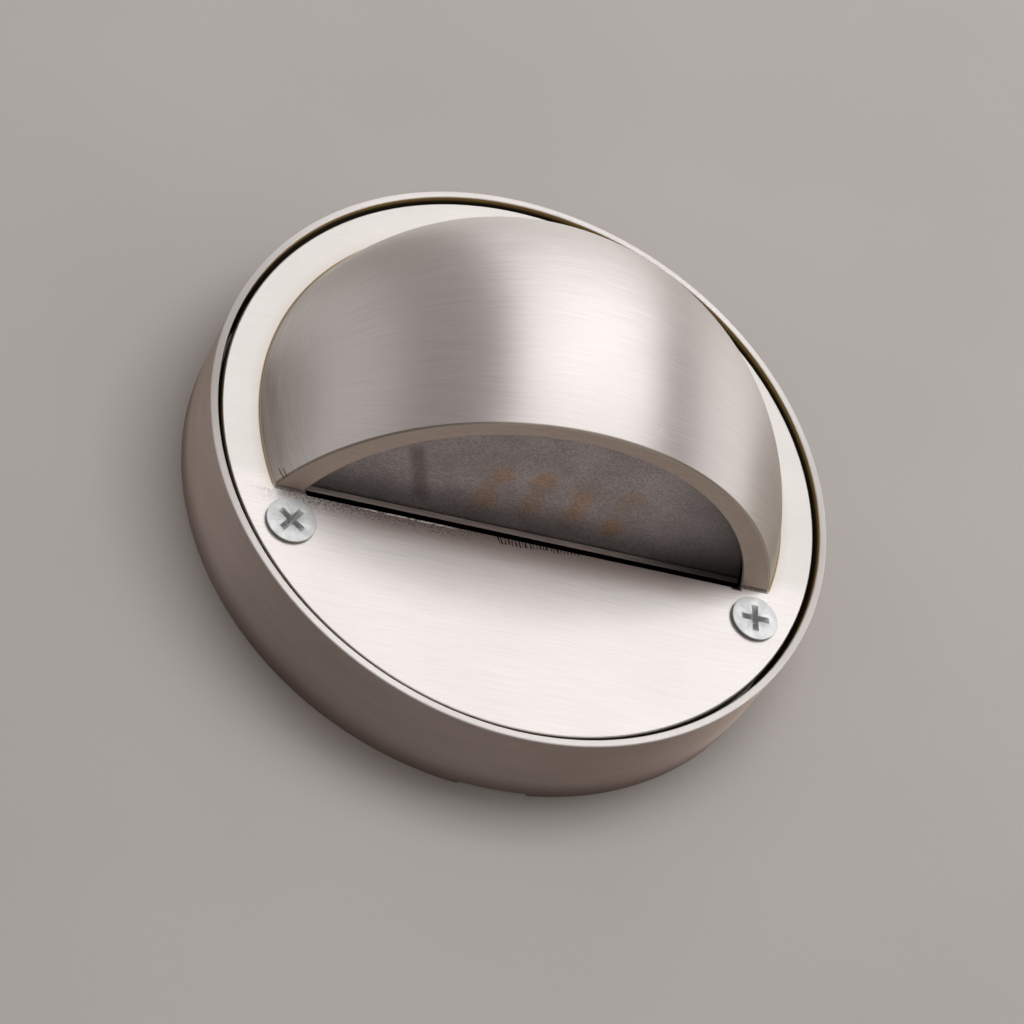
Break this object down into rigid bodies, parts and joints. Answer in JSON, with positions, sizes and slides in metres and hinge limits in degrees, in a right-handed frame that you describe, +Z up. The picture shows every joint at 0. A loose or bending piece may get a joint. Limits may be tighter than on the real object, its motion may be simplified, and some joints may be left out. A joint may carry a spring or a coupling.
{
  "type": "step light",
  "caption": "Round surface-mounted step light: a brushed metal ring on the wall carries a faceplate with a half-dome hood, and a lamp module under the hood shines down through a frosted lens.",
  "frame": {"origin": "centre of the back face, where the light stands on the wall", "axes": "+Y into the wall, so the light faces -Y; +Z up the wall; +X to the right seen from the front"},
  "size_m": [0.1, 0.0461, 0.1],
  "materials": {
    "brushed_steel_body": "satin",
    "bare_steel": "satin",
    "zinc_plated_screw": "satin",
    "black_plastic": "matt",
    "frosted_lens": "frosted",
    "silicone_seal": "matt",
    "black_rubber": "matt",
    "nylon": "matt",
    "board_white": "satin",
    "board_green": "satin",
    "chip_white": "satin",
    "phosphor": "gloss",
    "plain_aluminium": "satin",
    "black_package": "matt",
    "nickel_brass": "satin"
  },
  "bodies": {
    "housing": {"surface_ring": "brushed_steel_body", "back_plate": "bare_steel", "screw_pillars": "bare_steel", "top_rest": "bare_steel", "rest_buffer": "black_rubber"},
    "front": {"faceplate_hood": "brushed_steel_body", "face_screws": "zinc_plated_screw", "screw_retainers": "nylon", "module_case": "black_plastic", "cover_gasket": "silicone_seal", "module_cover": "black_plastic", "module_screws": "zinc_plated_screw", "lens": "frosted_lens", "lens_seal": "silicone_seal", "lens_bar": "bare_steel", "light_board": "board_white", "light_chips": "chip_white", "chip_phosphors": "phosphor", "thermal_pad": "silicone_seal", "heat_spreader": "plain_aluminium", "driver_board": "board_green", "driver_coil": "black_package", "driver_capacitor": "plain_aluminium", "driver_chip": "black_package", "driver_screws": "zinc_plated_screw", "link_header": "black_package", "link_pins": "nickel_brass", "cable_gland": "nickel_brass", "gland_locknut": "nickel_brass", "gland_nut": "nickel_brass", "gland_seal": "black_rubber"}
  },
  "joints": [
    {"name": "front_lift", "type": "slide", "parent": "housing", "child": "front", "axis": [0, -1, 0], "range_m": [0, 0.04]}
  ]
}
